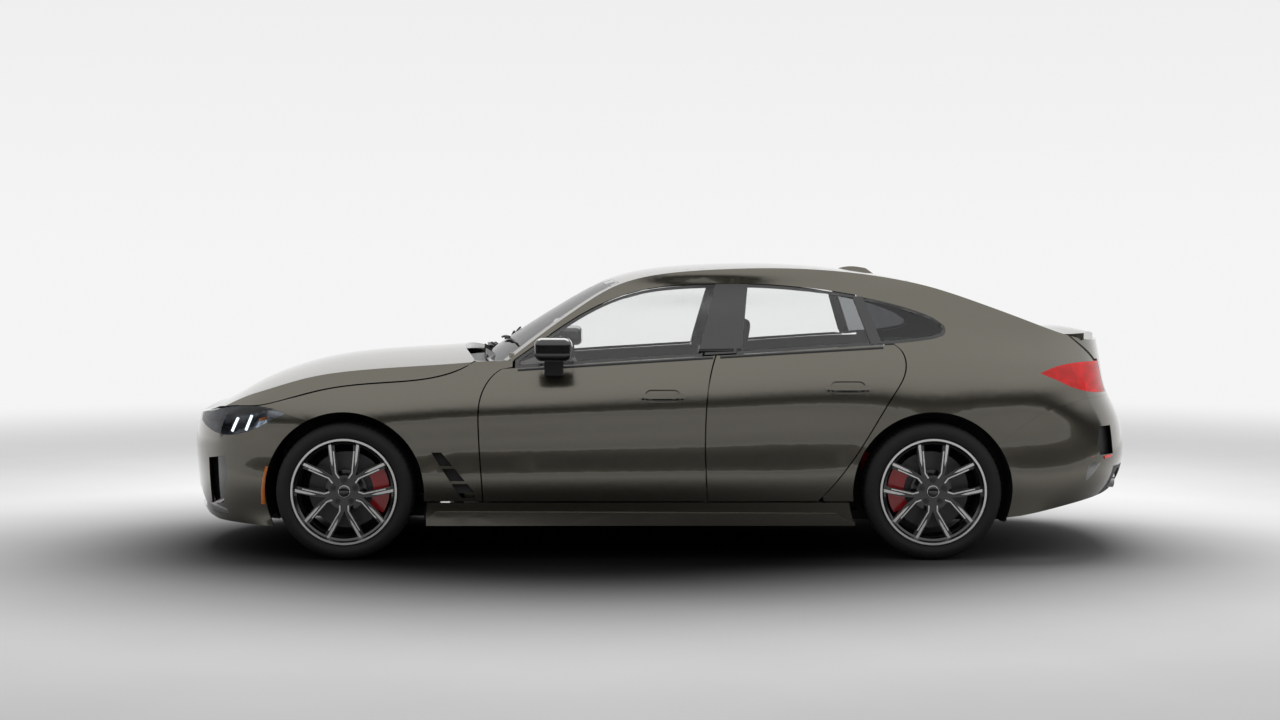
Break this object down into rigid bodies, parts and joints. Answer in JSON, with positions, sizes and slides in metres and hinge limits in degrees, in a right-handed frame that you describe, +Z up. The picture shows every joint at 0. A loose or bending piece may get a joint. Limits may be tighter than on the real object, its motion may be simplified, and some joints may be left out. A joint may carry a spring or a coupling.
{
  "type": "four-door coupe",
  "caption": "Low four-door liftback coupe with opening doors, bonnet and tailgate, steered front wheels and a furnished cabin.",
  "frame": {"origin": "on the ground below the middle of the overall length and width", "axes": "+X to the rear of the car, +Y to the car's right side, +Z up"},
  "size_m": [4.785, 2.09, 1.442],
  "materials": {
    "paint": "metallic gloss",
    "glass": "gloss",
    "lamp_glass": "gloss",
    "red_lamp": "gloss",
    "black_plastic": "matte",
    "gloss_black": "gloss",
    "underbody": "matte",
    "engine": "satin",
    "leather": "satin",
    "steel": "satin",
    "exhaust": "satin",
    "tyre": "matte",
    "alloy": "machined and gloss black"
  },
  "bodies": {
    "body": {"front_wings": "paint", "front_bumper": "paint", "headlamps": "lamp_glass", "grille": "gloss_black", "quarter_glass": "glass", "windscreen": "glass", "roof": "paint", "cowl": "black_plastic", "tail_lamps": "red_lamp", "rear_bumper": "paint", "rear_diffuser": "black_plastic", "body_side_left": "paint", "body_side_right": "paint", "underbody": "underbody", "engine": "engine", "front_seats": "leather", "rear_bench": "leather", "dashboard": "black_plastic", "steering_wheel": "leather", "front_suspension": "steel", "rear_suspension": "steel", "exhaust": "exhaust"},
    "bonnet": {"bonnet": "paint"},
    "tailgate": {"tailgate": "paint", "rear_window": "glass", "spoiler": "paint"},
    "door_front_left": {"door_front_left": "paint", "glass_front_left": "glass", "mirror_left": "gloss_black"},
    "door_front_right": {"door_front_right": "paint", "glass_front_right": "glass", "mirror_right": "gloss_black"},
    "door_rear_left": {"door_rear_left": "paint", "glass_rear_left": "glass"},
    "door_rear_right": {"door_rear_right": "paint", "glass_rear_right": "glass"},
    "knuckle_left": {"knuckle_left": "steel"},
    "knuckle_right": {"knuckle_right": "steel"},
    "wheel_front_left": {"wheel_front_left": "alloy", "tyre_front_left": "tyre"},
    "wheel_front_right": {"wheel_front_right": "alloy", "tyre_front_right": "tyre"},
    "wheel_rear_left": {"wheel_rear_left": "alloy", "tyre_rear_left": "tyre"},
    "wheel_rear_right": {"wheel_rear_right": "alloy", "tyre_rear_right": "tyre"}
  },
  "joints": [
    {"name": "door_front_left_hinge", "type": "hinge", "parent": "body", "child": "door_front_left", "pos_m": [-0.772, -0.88194, 0.6], "axis": [0, 0, -1], "range_deg": [0, 65]},
    {"name": "door_front_right_hinge", "type": "hinge", "parent": "body", "child": "door_front_right", "pos_m": [-0.772, 0.88194, 0.6], "axis": [0, 0, 1], "range_deg": [0, 65]},
    {"name": "door_rear_left_hinge", "type": "hinge", "parent": "body", "child": "door_rear_left", "pos_m": [0.326, -0.87978, 0.6], "axis": [0, 0, -1], "range_deg": [0, 65]},
    {"name": "door_rear_right_hinge", "type": "hinge", "parent": "body", "child": "door_rear_right", "pos_m": [0.326, 0.87978, 0.6], "axis": [0, 0, 1], "range_deg": [0, 65]},
    {"name": "bonnet_hinge", "type": "hinge", "parent": "body", "child": "bonnet", "pos_m": [-0.895, 0, 0.945], "axis": [0, 1, 0], "range_deg": [0, 50]},
    {"name": "tailgate_hinge", "type": "hinge", "parent": "body", "child": "tailgate", "pos_m": [1.253, 0, 1.3482], "axis": [0, -1, 0], "range_deg": [0, 70]},
    {"name": "steer_left", "type": "hinge", "parent": "body", "child": "knuckle_left", "pos_m": [-1.5295, -0.7185, 0.334], "axis": [0, 0, 1], "range_deg": [-30, 30]},
    {"name": "steer_right", "type": "hinge", "parent": "body", "child": "knuckle_right", "pos_m": [-1.5295, 0.7185, 0.334], "axis": [0, 0, 1], "range_deg": [-30, 30]},
    {"name": "spin_front_left", "type": "hinge", "parent": "knuckle_left", "child": "wheel_front_left", "pos_m": [-1.5295, -0.7885, 0.334], "axis": [0, 1, 0], "continuous": true},
    {"name": "spin_front_right", "type": "hinge", "parent": "knuckle_right", "child": "wheel_front_right", "pos_m": [-1.5295, 0.7885, 0.334], "axis": [0, 1, 0], "continuous": true},
    {"name": "spin_rear_left", "type": "hinge", "parent": "body", "child": "wheel_rear_left", "pos_m": [1.3265, -0.793, 0.334], "axis": [0, 1, 0], "continuous": true},
    {"name": "spin_rear_right", "type": "hinge", "parent": "body", "child": "wheel_rear_right", "pos_m": [1.3265, 0.793, 0.334], "axis": [0, 1, 0], "continuous": true}
  ],
  "couplings": [
    {"joint": "steer_right", "follows": "steer_left", "ratio": 1}
  ]
}
